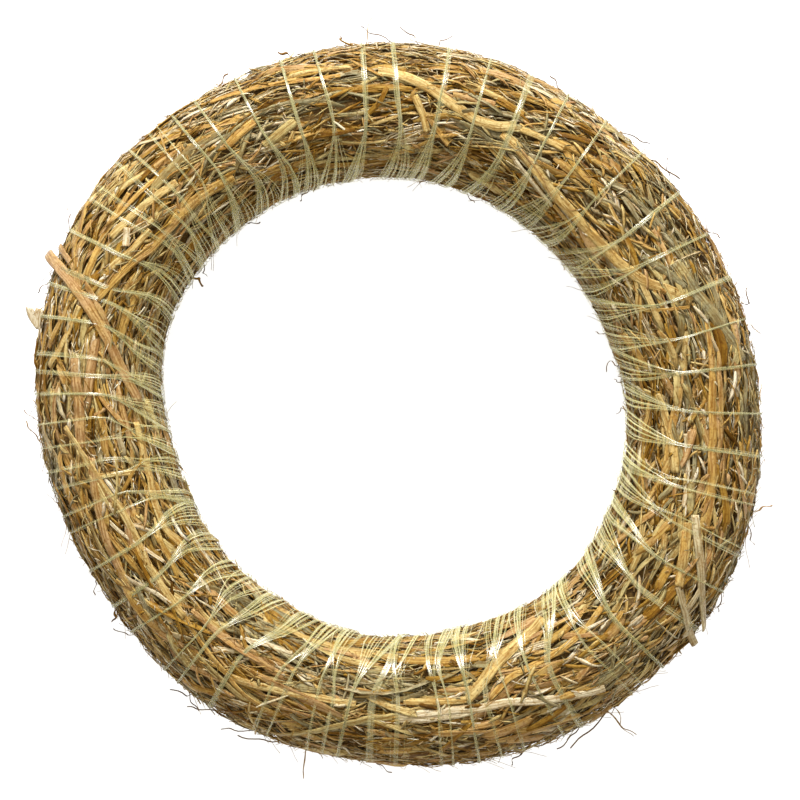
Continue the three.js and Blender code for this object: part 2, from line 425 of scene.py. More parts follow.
def straw_material(name):
    """Dried wheat stalk: a waxy skin that catches soft light, over fine lengthwise fibres."""
    material, tree = new_material(name)
    tone, shade, grain = [add_node(tree, "ShaderNodeAttribute", {"attribute_name": attribute})
                          for attribute in ("tone", "shade", "grain")]
    coordinates = add_node(tree, "ShaderNodeTexCoord")
    lines = add_node(tree, "ShaderNodeVectorMath", {"operation": "MULTIPLY"},
                     {1: (1 / LINE_LENGTH, 1 / LINE_SPACING, 1)}, {0: grain.outputs["Vector"]})
    line_noise = add_node(tree, "ShaderNodeTexNoise", {}, {"Scale": 1, "Detail": 4, "Roughness": 0.65},
                          {"Vector": lines.outputs[0]})
    blotches = add_node(tree, "ShaderNodeTexNoise", {},
                        {"Scale": 1 / (BLOTCH_SIZE * MM), "Detail": 3, "Roughness": 0.6},
                        {"Vector": coordinates.outputs["Object"]})
    spots = add_node(tree, "ShaderNodeTexNoise", {}, {"Scale": 1 / (SPOT_SIZE * MM), "Detail": 2},
                     {"Vector": coordinates.outputs["Object"]})
    drift = add_node(tree, "ShaderNodeMath", {"operation": "MULTIPLY_ADD"},
                     {1: TONE_DRIFT, 2: -TONE_DRIFT / 2}, {0: blotches.outputs["Fac"]})
    shifted = add_node(tree, "ShaderNodeMath", {"operation": "ADD"}, {},
                       {0: tone.outputs["Fac"], 1: drift.outputs[0]})
    colour = add_node(tree, "ShaderNodeValToRGB", links={"Fac": shifted.outputs[0]})
    set_ramp(colour, STRAW_TONES)
    line_light = add_node(tree, "ShaderNodeMapRange", {}, LINE_SHADE, {0: line_noise.outputs["Fac"]})
    spot_light = add_node(tree, "ShaderNodeMapRange", {}, SPOT_SHADE, {0: spots.outputs["Fac"]})
    # Painted shade: deeper stems are mixed toward the dark tint.
    painted_depth_shade = add_node(tree, "ShaderNodeMapRange", {}, DEPTH_SHADE, {0: shade.outputs["Fac"]})
    on_skin = add_node(tree, "ShaderNodeMath", {"operation": "MULTIPLY"}, {},
                       {0: line_light.outputs[0], 1: spot_light.outputs[0]})
    in_all = add_node(tree, "ShaderNodeMath", {"operation": "MULTIPLY"}, {},
                      {0: on_skin.outputs[0], 1: painted_depth_shade.outputs[0]})
    dark = add_node(tree, "ShaderNodeVectorMath", {"operation": "MULTIPLY"}, {1: MARK_AND_SHADE_TINT},
                    {0: colour.outputs["Color"]})
    skin = add_node(tree, "ShaderNodeMix", {"data_type": "RGBA"}, {},
                    {"Factor": in_all.outputs[0], "A": dark.outputs[0], "B": colour.outputs["Color"]})
    bump = add_node(tree, "ShaderNodeBump", {}, {"Strength": 1.0, "Distance": LINE_HEIGHT * MM},
                    {"Height": line_noise.outputs["Fac"]})
    shader = add_node(tree, "ShaderNodeBsdfPrincipled", {},
                      {"Roughness": 0.38, "IOR": 1.45, "Specular IOR Level": 0.25,
                       "Specular Tint": linear("#ffdda8")},
                      {"Base Color": skin.outputs["Result"], "Normal": bump.outputs[0]})
    add_node(tree, "ShaderNodeOutputMaterial", links={"Surface": shader.outputs[0]})
    return material


straw = straw_material("dry wheat straw")
print(straw.name, len(straw.node_tree.nodes), "nodes,", len(STRAW_TONES), "tones")

# %% [markdown]
# Between the stems one looks into shade, onto broken leaf and chaff pressed tight. A lumpy core closes
# every gap, so the ring never shows as hollow. Its dark browns are painted shade: the colour of packed
# chaff darkened to stand for the deep shade between the stems. A circle is spun once round to make it,
# and each of its points is then laid a few millimetres under the crowns.

# %% Packed core
CORE_SIDES = 44
CORE_STEPS = 220
TUBE_RADIUS = 0.3
MERGE_UNDER = 1e-5
CORE_LIFT = -3.0
CORE_ROUGHNESS = 0.7
CORE_SEED = 11
CRUMB_SIZE = 1.429
CRUMB_HEIGHT = 0.8


def painted_shade_core_material():
    """Broken leaf and chaff packed tight, matt, in crumbs of 1 to 2 mm, its browns darkened as painted
    shade.
    """
    material, tree = new_material("packed chaff in painted shade")
    coordinates = add_node(tree, "ShaderNodeTexCoord")
    noise = add_node(tree, "ShaderNodeTexNoise", {},
                     {"Scale": 1 / (CRUMB_SIZE * MM), "Detail": 5, "Roughness": 0.7},
                     {"Vector": coordinates.outputs["Object"]})
    colour = add_node(tree, "ShaderNodeValToRGB", links={"Fac": noise.outputs["Fac"]})
    # Painted shade: the core's dark browns stand for the deep shade between the stems.
    set_ramp(colour, [(0.3, "#372308"), (0.5, "#634717"), (0.7, "#8e7035")])
    bump = add_node(tree, "ShaderNodeBump", {}, {"Strength": 0.8, "Distance": CRUMB_HEIGHT * MM},
                    {"Height": noise.outputs["Fac"]})
    shader = add_node(tree, "ShaderNodeBsdfPrincipled", {}, {"Roughness": 0.85},
                      {"Base Color": colour.outputs["Color"], "Normal": bump.outputs[0]})
    add_node(tree, "ShaderNodeOutputMaterial", links={"Surface": shader.outputs[0]})
    return material


def packed_core():
    """A ring of one unit's radius, laid under the crowns point by point."""
    shape = bmesh.new()
    bmesh.ops.create_circle(shape, segments=CORE_SIDES, radius=TUBE_RADIUS)
    bmesh.ops.rotate(shape, verts=shape.verts, matrix=Matrix.Rotation(np.pi / 2, 3, "X"))
    bmesh.ops.translate(shape, verts=shape.verts, vec=(1, 0, 0))
    bmesh.ops.spin(shape, geom=shape.verts[:] + shape.edges[:], cent=(0, 0, 0), axis=(0, 0, 1),
                   angle=2 * np.pi, steps=CORE_STEPS, use_merge=True, use_duplicate=False)
    bmesh.ops.remove_doubles(shape, verts=shape.verts, dist=MERGE_UNDER)
    bmesh.ops.recalc_face_normals(shape, faces=shape.faces)
    mesh = bpy.data.meshes.new("packed_core")
    shape.to_mesh(mesh)
    shape.free()
    points = read_points(mesh)
    angle = np.degrees(np.arctan2(points[:, 1], points[:, 0])) % 360
    around = np.arctan2(points[:, 2], np.hypot(points[:, 0], points[:, 1]) - 1)
    share = ((around + CORNER) % (2 * np.pi)) / (2 * np.pi) * (1 + BACK_SHARE)
    chance = np.random.default_rng(CORE_SEED)
    lift = CORE_LIFT + chance.uniform(-CORE_ROUGHNESS, CORE_ROUGHNESS, len(points))
    write_points(mesh, place(angle, share, lift))
    piece = bpy.data.objects.new("packed_core", mesh)
    bpy.context.scene.collection.objects.link(piece)
    return finish_piece(piece, "straw_ring", painted_shade_core_material())


packed_core()

# %% [markdown]
# Now the straw itself. Nearly all of it follows the ring, a little askew, because it was fed in by
# the handful and bound as it came. First come the rules that every stem keeps: how high it may stand
# under the film, its path, the way it narrows to its tips, and its ends, which dip into the bundle or
# stand off it. They are small functions, so each layer can bring its own numbers.

# %% Rules for a stem
CROWN_ROOF = 0.6
INNER_ROOF = 0.25
BACK_ROOF = -0.3
INNER_DROP = (0.56, 0.68)
BACK_DROP = (0.02, 0.12)
TIP_POWER = 6
END_PART = 0.3
WAVES_ALONG = 7
FULL_TURN = 6.28
SEED_MOST = 400


def straw_roof(share):
    """How high straw may stand: freely on the crown, tightly under the film on the inner wall."""
    roof = CROWN_ROOF + (INNER_ROOF - CROWN_ROOF) * smooth_step(share, *INNER_DROP)
    near_back = np.minimum(share, np.abs(1 - share))
    near_back = np.where(share > 1, 0, near_back)
    return np.minimum(roof, BACK_ROOF + (roof - BACK_ROOF) * smooth_step(near_back, *BACK_DROP))


def drawn(chance, low, high, count):
    return column(chance.uniform(low, high, count))


def wandering(angle, share, length, heading, bow):
    """A route that leaves its middle at a heading and bows a little to one side."""
    radius = radius_at(angle, share)

    def route(along):
        run = (along - HALF_UNIT) * length
        side = bow * (1 - 4 * (along - HALF_UNIT) ** 2)
        across = run * np.sin(heading) + side * np.cos(heading)
        forward = run * np.cos(heading) - side * np.sin(heading)
        return angle + np.degrees(forward / radius), share + across / ARC

    return route


def pointed(sharpness):
    """Full width along most of a stem, drawn in at both ends."""
    return lambda along: 1 - sharpness * np.abs(2 * along - 1) ** TIP_POWER


def dipped(start, end, wave, phase):
    """Ends that go down into the bundle or stand off it, and a slow wave between them."""
    def bend(along):
        first = np.clip(1 - along / END_PART, 0, 1) ** 2
        last = np.clip((along - (1 - END_PART)) / END_PART, 0, 1) ** 2
        return start * first + end * last + wave * np.sin(WAVES_ALONG * along + phase)
    return bend


print("straw stands up to", CROWN_ROOF, "mm on the crown and", INNER_ROOF, "mm on the inner wall")

# %% [markdown]
# No handful is like the next. On this ring some patches are weathered to grey-green, and beside the
# top the straw is finer and more shredded. There, on the outer wall that faces the lamps, most stems
# are drawn pale, almost cream, as painted light. A patch is a round spot that fades out: in its middle
# most stems take the patch's tones, and ever fewer further out. Each has the angle and share of its
# middle and its reach in millimetres, twice as long as wide.

# %% Patches and finer straw
WEATHERED = [
    (20, 0.42, 26), (2, 0.30, 22), (348, 0.28, 20), (335, 0.22, 16), (36, 0.42, 22), (68, 0.50, 20),
    (96, 0.45, 14), (118, 0.47, 20), (238, 0.60, 20), (256, 0.585, 22), (274, 0.585, 20),
    (192, 0.30, 16), (308, 0.42, 14), (140, 0.60, 16),
]
WEATHERED_SHARE = 0.75
WEATHERED_TONES = (0.72, 0.82)
# Painted light: on the outer wall at the top, which faces the lamps, most stems are drawn near cream.
PAINTED_LIGHT_PATCHES = [(58, 0.24, 28), (78, 0.22, 30), (98, 0.2, 34), (120, 0.22, 30), (140, 0.2, 20)]
PAINTED_LIGHT_SHARE = 0.6
PAINTED_LIGHT_TONES = (0.84, 0.98)
FINE_MIDDLE = 95
FINE_REACH = 45
FINE_DEPTH = 0.35
WIDE = 1.6


def patched(chance, patches, most, tones, angle, share, tone):
    """Gives other tones to most of the stems in a patch, and to ever fewer further from its middle."""
    chosen = chance.uniform(0, 1, angle.shape)
    other = chance.uniform(*tones, angle.shape)
    for middle_angle, middle_share, reach in patches:
        beside = np.radians((angle - middle_angle + 180) % 360 - 180) * radius_at(angle, share)
        distance = np.hypot(beside, 2 * (share - middle_share) * ARC)
        tone = np.where(chosen < most * np.exp(-(distance / reach) ** 2), other, tone)
    return tone


def finer(angle):
    """How much of its width a wide stem keeps, which is least beside the top of the ring."""
    away = (angle - FINE_MIDDLE + 180) % 360 - 180
    return 1 - FINE_DEPTH * np.exp(-(away / FINE_REACH) ** 2)


print("weathered patches", len(WEATHERED), "and patches of painted light", len(PAINTED_LIGHT_PATCHES))

# %% [markdown]
# The straw goes down in layers, as in life: split strips and short stuff deep down, flattened stems
# over them, cut ends and a few that cross, and fine shreds and chaff caught everywhere. Each layer is
# one call of one function. A stem that has split lies as several strips side by side, which share its
# route and differ a little in tone and height. Short pieces dip less at their ends than long stems.

# %% Layers of straw
CROWN_SHARE = 0.47
CROWN_SPREAD = 0.13
SHORTEST_STRIP = 0.75
STRIP_SKEW = 1.5
STRIP_GAP = 0.9
STRIP_TONE = 0.09
STRIP_LIFT = 0.3
BOW = 0.04
FULL_DIP_LENGTH = 25
DIP = (0.5, 3.0)
STAND = (0.8, 4)
LAYER_ROLL = 0.35
LAYER_TWIST = 0.5
LAYER_SHARPNESS = 0.6
STANDING_HOLD = 0.5


def straw_layer(name, count, seed, sides, steps, sizes, skew, crown_bias=0.0, loose=0.03, tones=(0, 1),
                strips=1, wave=0.3, ribbed=False):
    """One layer of straw. Sizes are ranges of length, width, thickness and lift in millimetres."""
    chance = np.random.default_rng(seed)
    stems = count // strips

    def shared(values):
        return np.repeat(values, strips, axis=0)

    def scattered(rows):
        return chance.standard_normal((rows, 1))

    angle = drawn(chance, 0, 360, stems)
    share = drawn(chance, 0, 1 + BACK_SHARE, stems)
    toward_crown = chance.uniform(0, 1, (stems, 1)) < crown_bias
    share = np.where(toward_crown, CROWN_SHARE + CROWN_SPREAD * scattered(stems), share)
    length = shared(drawn(chance, *sizes["length"], stems)) * drawn(chance, SHORTEST_STRIP, 1.0, count)
    heading = shared(np.radians(skew * scattered(stems)))
    heading = heading + np.radians(STRIP_SKEW * scattered(count))
    bow = BOW * length * shared(scattered(stems))
    width = drawn(chance, *sizes["width"], count)
    width = np.where(width > WIDE, width * finer(shared(angle)), width)
    beside = column(np.tile(np.arange(strips) - (strips - 1) / 2, stems)) * width * STRIP_GAP
    share = shared(share) + beside / ARC
    tone = shared(drawn(chance, *tones, stems)) + drawn(chance, -STRIP_TONE, STRIP_TONE, count)
    tone = patched(chance, WEATHERED, WEATHERED_SHARE, WEATHERED_TONES, shared(angle), share, tone)
    # Painted light: paler stems on the outer wall at the top.
    tone = patched(chance, PAINTED_LIGHT_PATCHES, PAINTED_LIGHT_SHARE, PAINTED_LIGHT_TONES, shared(angle), share, tone)
    lift = shared(drawn(chance, *sizes["lift"], stems)) + drawn(chance, -STRIP_LIFT, STRIP_LIFT, count)
    thick = np.minimum(drawn(chance, *sizes["thick"], count), width)
    reach = np.minimum(1, length / FULL_DIP_LENGTH)
    ends = -reach * drawn(chance, *DIP, 2 * count).reshape(count, 2)
    stands = chance.uniform(0, 1, (count, 2)) < loose
    ends = np.where(stands, chance.uniform(*STAND, (count, 2)), ends)
    form = {
        "width": width, "thick": thick, "lift": lift, "length": length,
        "roll": LAYER_ROLL * scattered(count), "twist": LAYER_TWIST * scattered(count),
        "bend": dipped(ends[:, :1], ends[:, 1:], wave * reach, drawn(chance, 0, FULL_TURN, count)),
        "taper": pointed(LAYER_SHARPNESS),
        "held": np.where(stands.any(axis=1, keepdims=True), STANDING_HOLD, 1.0),
        "tone": tone, "seed": drawn(chance, 0, SEED_MOST, count),
    }
    route = wandering(shared(angle), share, length, heading, bow)
    piece = lay(name, blank(sides, steps, ribbed=ribbed), count, route, form, straw_roof)
    return finish_piece(piece, "straw_ring", straw)


straw_layer(
    "deep_straw", count=1000, seed=21, sides=4, steps=5, skew=16,
    sizes={"length": (25, 70), "width": (1.5, 4), "thick": (0.5, 1.2), "lift": (-2.7, -1.2)},
)
straw_layer(
    "split_straw", count=3000, seed=22, sides=4, steps=4, skew=14, crown_bias=0.1, strips=4,
    sizes={"length": (10, 40), "width": (0.5, 1.3), "thick": (0.3, 0.6), "lift": (-1.9, 0.1)},
)
straw_layer(
    "flattened_stems", count=820, seed=23, sides=8, steps=5, skew=14, crown_bias=0.4,
    sizes={"length": (12, 48), "width": (1.8, 5.0), "thick": (0.4, 0.8), "lift": (-1.5, 0.1)},
    tones=(0.12, 0.66), ribbed=True,
)
straw_layer(
    "cut_straw", count=4200, seed=28, sides=4, steps=3, skew=20, crown_bias=0.1, loose=0.02,
    sizes={"length": (4, 17), "width": (0.6, 2.4), "thick": (0.25, 0.5), "lift": (-1.4, 0.35)},
    tones=(0.1, 1.05), wave=0.15,
)
straw_layer(
    "crossing_straw", count=560, seed=27, sides=4, steps=5, skew=42, crown_bias=0.4, loose=0.15,
    sizes={"length": (7, 22), "width": (0.7, 2.0), "thick": (0.3, 0.6), "lift": (-0.6, 0.4)},
)
straw_layer(
    "fine_straw", count=9900, seed=24, sides=3, steps=3, skew=24, loose=0.05,
    sizes={"length": (3, 14), "width": (0.25, 0.7), "thick": (0.2, 0.4), "lift": (-1.5, 0.6)},
    tones=(0, 1.05),
)
straw_layer(
    "chaff", count=9400, seed=25, sides=3, steps=2, skew=50, loose=0.05,
    sizes={"length": (1.2, 4.5), "width": (0.35, 1.1), "thick": (0.15, 0.3), "lift": (-1.3, 0.5)},
    tones=(0.1, 1.1),
)
straw_layer(
    "dry_leaves", count=170, seed=26, sides=8, steps=7, skew=12, crown_bias=0.3,
    sizes={"length": (12, 36), "width": (1.8, 3.8), "thick": (0.25, 0.4), "lift": (-0.9, 0.2)},
    tones=(0.70, 0.84), wave=0.45, ribbed=True,
)

# %% [markdown]
# Some stems catch the eye on this ring: a pinkish one that lies right across, a long golden arc, a
# pair that forms a V. They are laid one by one, the way a stylist would place them last. Each has its
# width, its tone on the straw's ramp, how far its two ends stand off the crowns, and the points that
# it passes, as angle and share. The points were read off the photograph. The camera stands close, so
# the high crown looks larger than the outline round it, and a point there is seen too far out. A small
# shift of the shares puts it back.

# %% Stems laid one by one
GOLD, TAN, PINK, ORANGE, OLIVE = 0.55, 0.3, 0.35, 0.47, 0.7
GREY, PALE, BROWN, STRAW = 0.77, 0.94, 0.14, 0.86
PLACED_STEMS = [
    (5.0, PINK, (5, 0.6), [(156.8, .18), (158, .29), (159.5, .37), (161.5, .43), (164, .475),
                           (167.5, .525), (172, .565), (176, .6), (180, .625)]),
    (2.6, PINK, (1, 0.5), [(155, .24), (156.5, .33), (158.5, .4), (160, .44), (163, .49), (165.5, .52)]),
    (2.6, TAN, (1, 0.3), [(147, .27), (151, .31), (155, .335), (157.5, .37)]),
    (4.6, GOLD, (-1, -1), [(19, .44), (22, .47), (26, .53), (29, .545), (33, .565), (38, .57), (45, .575),
                           (52, .565), (58, .545), (64, .515), (69, .495)]),
    (2.0, PALE, (-1, -1), [(52, .6), (57, .58), (62, .56), (67, .53)]),
    (1.6, TAN, (0, 0), [(40, .62), (45, .605), (52, .59)]),
    (4.2, GOLD, (0, 0.8), [(67, .46), (70, .485), (75, .49), (80, .465), (85, .43), (90, .40),
                       (93.5, .395)]),
    (1.6, GOLD, (0, 0), [(21.5, .585), (25, .56), (28.5, .54), (33, .515), (37, .505), (43, .485),
                     (47, .47)]),
    (1.6, ORANGE, (0.5, 0), [(18.3, .45), (19.2, .51), (20.5, .56), (22.5, .59)]),
    (5.2, GREY, (0, 0), [(7, .33), (12, .37), (17, .40), (21, .42), (27, .43)]),
    (3.0, GREY, (0, 0), [(22, .44), (25.5, .46), (31, .50)]),
    (3.8, ORANGE, (-1, -1), [(337, .425), (343, .435), (350, .45), (360, .45), (366, .435), (372, .42),
                             (376, .41)]),
    (2.4, PINK, (-1, -1), [(350, .43), (365, .42), (372, .395)]),
    (3.0, BROWN, (0, 0), [(66.5, .425), (69, .42), (72, .415)]),
    (2.8, PINK, (0, 0), [(72, .43), (76, .436), (80, .44)]),
    (2.4, ORANGE, (0.6, 0), [(79, .575), (82, .54), (84, .51)]),
    (3.2, GOLD, (0.4, 0.2), [(84, .55), (85, .51), (87, .46)]),
    (2.6, GOLD, (0, 0), [(57, .45), (61, .455), (66, .465)]),
    (2.2, BROWN, (0, 0.4), [(92, .44), (93.5, .48), (96, .51)]),
    (2.0, ORANGE, (0, 0), [(100, .395), (106, .385), (112, .36), (118, .335), (122, .32)]),
    (4.0, OLIVE, (0, 0), [(110, .49), (114, .51), (117.5, .525)]),
    (1.8, GOLD, (0.6, 0), [(111, .515), (112.3, .535), (113.5, .55)]),
    (1.8, GOLD, (0, 0.6), [(113.5, .55), (114, .54), (114.5, .53)]),
    (3.8, ORANGE, (0, 0), [(117, .45), (120, .46), (124, .475)]),
    (1.6, OLIVE, (-0.5, -0.5), [(90, .63), (100, .635), (112, .625)]),
    (3.2, BROWN, (-0.5, -0.5), [(113, .625), (116, .622), (120, .63)]),
    (3.4, GOLD, (0, 0), [(135, .475), (142, .455), (150, .43)]),
    (3.0, ORANGE, (0, 0), [(142, .395), (150, .41), (158, .415)]),
    (4.6, TAN, (-0.3, 0), [(126, .56), (135, .545), (142, .545), (148, .54), (152, .515),
                        (157, .49), (161, .465)]),
    (3.0, GOLD, (0, 0), [(145, .51), (150, .5), (155, .47)]),
    (2.6, GOLD, (0, 0), [(163, .42), (168, .4), (171, .375), (174, .34)]),
    (2.6, TAN, (0, 0), [(160, .39), (166, .37), (171, .33)]),
    (3.0, PALE, (0.5, 0.2), [(147, .455), (150, .48)]),
    (4.6, PINK, (0, 0), [(172, .43), (180, .445), (188, .43)]),
    (3.0, BROWN, (-0.5, -0.5), [(139, .63), (145, .65), (150, .66)]),
    (3.6, GOLD, (0, 0), [(184, .39), (188, .42), (192, .445), (196, .46), (201, .485), (206, .49),
                     (212, .48), (220, .475), (225, .47)]),
    (2.5, GOLD, (0.5, 0.3), [(193.5, .43), (194, .5), (194.5, .56)]),
    (3.8, PINK, (0, 0), [(190, .45), (200, .42), (206, .4), (215, .385)]),
    (1.6, PALE, (0, 0), [(201, .43), (205, .455), (209, .49), (214, .525)]),
    (1.6, BROWN, (0.8, 0), [(180.5, .605), (183, .585), (187, .545)]),
    (3.5, GOLD, (0, 0), [(184, .605), (190, .605), (197, .6), (203, .585), (208, .58), (214, .605)]),
    (2.0, PALE, (0, 0), [(210.5, .38), (214, .41), (218, .45), (225, .48)]),
    (2.0, GOLD, (0, 0), [(212, .36), (217, .4), (222, .43)]),
    (2.2, ORANGE, (0, 0), [(224, .475), (230, .45), (236, .43), (242, .395), (248, .38)]),
    (3.2, GOLD, (0, 0), [(238, .42), (246, .45), (255, .475), (262, .48)]),
    (2.6, PINK, (0, 0), [(225, .5), (235, .505), (245, .5)]),
    (2.2, PALE, (0, 0.4), [(236, .53), (241, .555), (247, .57)]),
    (2.4, PALE, (0.3, 0), [(233, .46), (236.5, .49)]),
    (3.0, OLIVE, (0, 0), [(249, .29), (254, .345), (259, .4), (264, .44), (270, .46)]),
    (3.0, GOLD, (-0.5, -0.5), [(238, .62), (245, .635), (255, .64), (270, .64)]),
    (3.0, PALE, (0, 0), [(270, .445), (276, .45), (282, .455), (288, .465)]),
    (3.4, PALE, (0, 0.8), [(270, .46), (280, .47), (285, .46), (290, .46), (296, .43), (301, .4),
                       (306, .37)]),
    (3.0, GOLD, (0, 0), [(271, .5), (277, .495), (283, .49)]),
    (4.8, GOLD, (0, 0), [(283, .49), (287, .53), (291, .57), (296, .6), (300, .62), (304, .64)]),
    (2.8, ORANGE, (0, 0), [(287, .48), (292, .52), (299, .53), (304, .53), (310, .54), (315, .555)]),
    (2.4, BROWN, (0, 0), [(277, .34), (280, .39), (283, .43)]),
    (2.4, BROWN, (0, 0), [(287, .31), (292, .36), (300, .385)]),
    (3.8, STRAW, (3.5, 0.4), [(320.9, .25), (323.1, .338), (325.1, .392), (326.9, .427)]),
    (4.4, GOLD, (0.6, 0), [(326.9, .427), (330.3, .445), (334.1, .465), (337.6, .479)]),
    (3.6, STRAW, (3.2, 0.4), [(323.5, .262), (328.5, .36), (332.8, .412), (336.2, .445), (339.4, .466)]),
    (3.5, ORANGE, (0, 0), [(328.5, .44), (331, .45), (336, .475)]),
    (1.8, PALE, (0, 0), [(340, .5), (347, .51), (354, .525)]),
    (4.0, GOLD, (0, 0), [(346, .54), (352, .56), (358, .585), (362, .6)]),
    (2.6, GREY, (0, 0), [(346, .52), (352, .545), (357, .57)]),
]
PLACED_LIFT = 0.05
PLACED_FLATNESS = 0.24
PLACED_ROLL = 0.15
PLACED_TWIST = 0.4
PLACED_WAVE = 0.15
PLACED_SHARPNESS = 0.1
PLACED_TONE = 0.02
PLACED_HOLD = 0.3
STANDS_OVER = 1
PLACED_SEED = 41
SEEN_SHIFT = 0.022
ROUTE_RADIUS = 125
ROUTE_STEPS = 60
SMOOTHED_OVER = 9


def passing(points):
    """A smooth route through points, each an angle and a share, by its length."""
    angles, shares = np.array(points, float).T
    shares = shares + SEEN_SHIFT
    pieces = np.hypot(np.radians(np.diff(angles)) * ROUTE_RADIUS, np.diff(shares) * ARC)
    reached = np.concatenate([[0], np.cumsum(pieces)])
    length = reached[-1]
    steps = np.linspace(0, 1, ROUTE_STEPS)
    rough = np.array([np.interp(steps * length, reached, values) for values in (angles, shares)])
    kernel = np.hanning(SMOOTHED_OVER)
    beyond = SMOOTHED_OVER // 2
    padded = np.pad(rough, ((0, 0), (beyond, beyond)), mode="reflect", reflect_type="odd")
    smooth = [np.convolve(row, kernel / kernel.sum(), mode="valid") for row in padded]

    def route(along):
        past = along - np.clip(along, 0, 1)
        inside = np.clip(along, 0, 1)
        values = [np.interp(inside, steps, row) for row in smooth]
        slopes = [np.where(past > 0, row[-1] - row[-2], row[1] - row[0]) * (ROUTE_STEPS - 1)
                  for row in smooth]
        return values[0] + past * slopes[0], values[1] + past * slopes[1]

    return route, length


def placed_stems():
    chance = np.random.default_rng(PLACED_SEED)
    count = len(PLACED_STEMS)
    routes, lengths = zip(*[passing(points) for _, _, _, points in PLACED_STEMS])

    def route(along):
        rows = [one(along[i]) for i, one in enumerate(routes)]
        return np.array([row[0] for row in rows]), np.array([row[1] for row in rows])

    width = column([stem[0] for stem in PLACED_STEMS])
    tone = column([stem[1] for stem in PLACED_STEMS])
    ends = np.array([stem[2] for stem in PLACED_STEMS], float)
    stands = ends.max(axis=1, keepdims=True) > STANDS_OVER
    form = {
        "width": width, "thick": PLACED_FLATNESS * width, "lift": PLACED_LIFT, "length": column(lengths),
        "roll": PLACED_ROLL * chance.standard_normal((count, 1)),
        "twist": PLACED_TWIST * chance.standard_normal((count, 1)),
        "bend": dipped(ends[:, :1], ends[:, 1:], PLACED_WAVE, drawn(chance, 0, FULL_TURN, count)),
        "taper": pointed(PLACED_SHARPNESS), "held": np.where(stands, PLACED_HOLD, 1.0),
        "tone": tone + drawn(chance, -PLACED_TONE, PLACED_TONE, count),
        "seed": drawn(chance, 0, SEED_MOST, count),
    }
    piece = lay("placed_stems", blank(sides=10, steps=32, ribbed=True), count, route, form)
    return finish_piece(piece, "straw_ring", straw)


placed_stems()

# %% [markdown]
# Seen against the table, the ring has a beard. Root hairs, split ends and bits of leaf stand out of
# it by a few millimetres, and the twine only tames them. They are thin, darker than the rest, and
# stand up from the outer and the inner wall at all angles.

# %% Wisps on the outline
OUTSIDE_PART = 0.72
OUTSIDE_SHARES = (0.04, 0.3)
INSIDE_SHARES = (0.7, 0.94)
ALONG_PART = 0.6
ALONG_HEADING = 0.2
WISP_ROOT = -1.0
WISP_WIDTHS = (0.2, 0.55)
WISP_THICKNESS = 0.25
WISP_TAPER = 0.7
WISP_BOW = 0.1
RISE_POWER = 1.5
CURLS_ALONG = 9
CURL_HEIGHT = 0.4


def wisps(name, count, seed, length_range, rise_range, tones):
    """Hairs that leave the bundle on its outer and inner wall. Their tips rise by the rise range."""
    chance = np.random.default_rng(seed)
    outside = chance.uniform(0, 1, (count, 1)) < OUTSIDE_PART
    share = np.where(outside, drawn(chance, *OUTSIDE_SHARES, count), drawn(chance, *INSIDE_SHARES, count))
    angle = drawn(chance, 0, 360, count)
    length = drawn(chance, *length_range, count)
    heading = drawn(chance, -np.pi, np.pi, count)
    nearly_along = chance.uniform(0, 1, (count, 1)) < ALONG_PART
    heading = np.where(nearly_along, heading * ALONG_HEADING, heading)
    rise = drawn(chance, *rise_range, count)
    curl = drawn(chance, -1, 1, count)

    def bend(along):
        return rise * along ** RISE_POWER + curl * np.sin(CURLS_ALONG * along) * CURL_HEIGHT

    form = {
        "width": drawn(chance, *WISP_WIDTHS, count), "thick": WISP_THICKNESS, "lift": WISP_ROOT,
        "bend": bend, "length": length, "taper": lambda along: 1 - WISP_TAPER * along, "held": 0.0,
        "tone": drawn(chance, *tones, count), "seed": drawn(chance, 0, SEED_MOST, count),
    }
    bow = WISP_BOW * length * chance.standard_normal((count, 1))
    route = wandering(angle, share, length, heading, bow)
    piece = lay(name, blank(sides=3, steps=5), count, route, form)
    return finish_piece(piece, "straw_ring", straw)


wisps("short_wisps", count=1200, seed=51, length_range=(2, 7), rise_range=(1.2, 3.2), tones=(0, 0.6))
wisps("long_wisps", count=160, seed=52, length_range=(7, 15), rise_range=(3, 7.5), tones=(0, 0.4))
